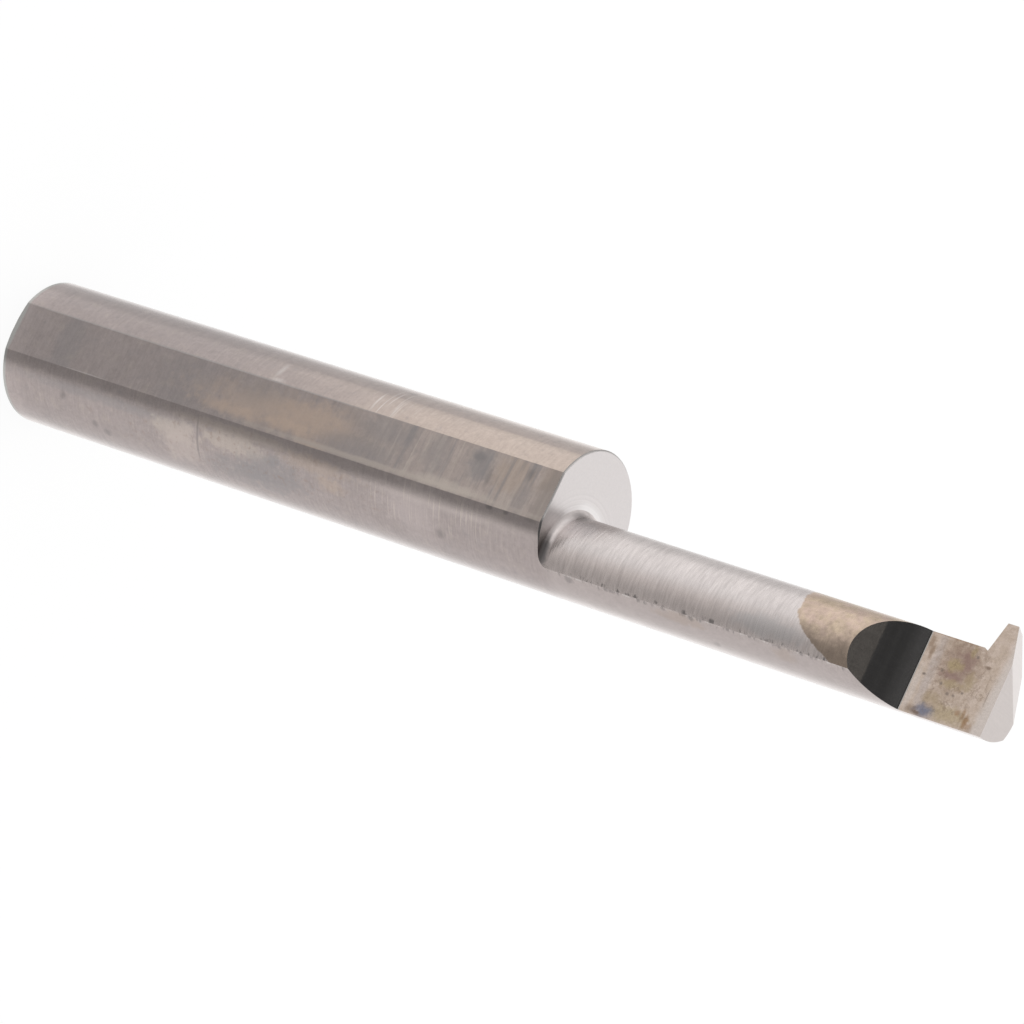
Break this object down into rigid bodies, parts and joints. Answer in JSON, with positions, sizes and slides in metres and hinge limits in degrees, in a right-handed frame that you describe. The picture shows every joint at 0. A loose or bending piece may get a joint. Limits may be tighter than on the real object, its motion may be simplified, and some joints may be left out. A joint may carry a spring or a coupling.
{
  "type": "internal threading tool",
  "caption": "Solid carbide bar for cutting internal threads: round shank with a clamping flat, offset ground neck, sloping gullet, and a relieved trapezoidal tooth at the head.",
  "frame": {"origin": "centre of the shank's rear face, which the bar stands on", "axes": "+Z along the bar's axis to the cutting head, -Y out of the rake face and the clamping flat, -X from the bar's axis to the tooth"},
  "size_m": [0.008, 0.0077, 0.0635],
  "materials": {
    "carbide": "ground and honed cemented carbide, part stained by grinding heat"
  },
  "bodies": {
    "root": {"threading_bar": "carbide"}
  },
  "joints": []
}
